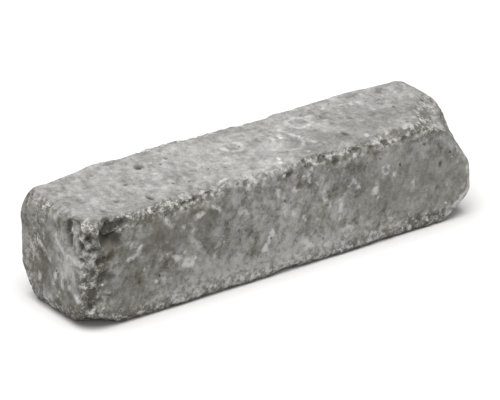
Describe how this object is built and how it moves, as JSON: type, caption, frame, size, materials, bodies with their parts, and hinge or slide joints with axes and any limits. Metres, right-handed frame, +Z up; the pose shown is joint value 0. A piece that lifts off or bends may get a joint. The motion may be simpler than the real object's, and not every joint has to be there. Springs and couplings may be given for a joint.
{
  "type": "tumbled concrete wall block",
  "caption": "Long square-section concrete wall block, tumbled: flat beds and faces, uneven rounded arrises and knocked corners, for dry-laid garden walls.",
  "frame": {"origin": "middle of the lower bed, which is the middle of the bottom of the bounding box", "axes": "+X along the block's length, -Y out of its front face, +Z up out of its upper bed"},
  "size_m": [0.6, 0.148, 0.147],
  "materials": {
    "concrete": "rough cast, tumbled, matt"
  },
  "bodies": {
    "root": {"wall_block": "concrete"}
  },
  "joints": []
}
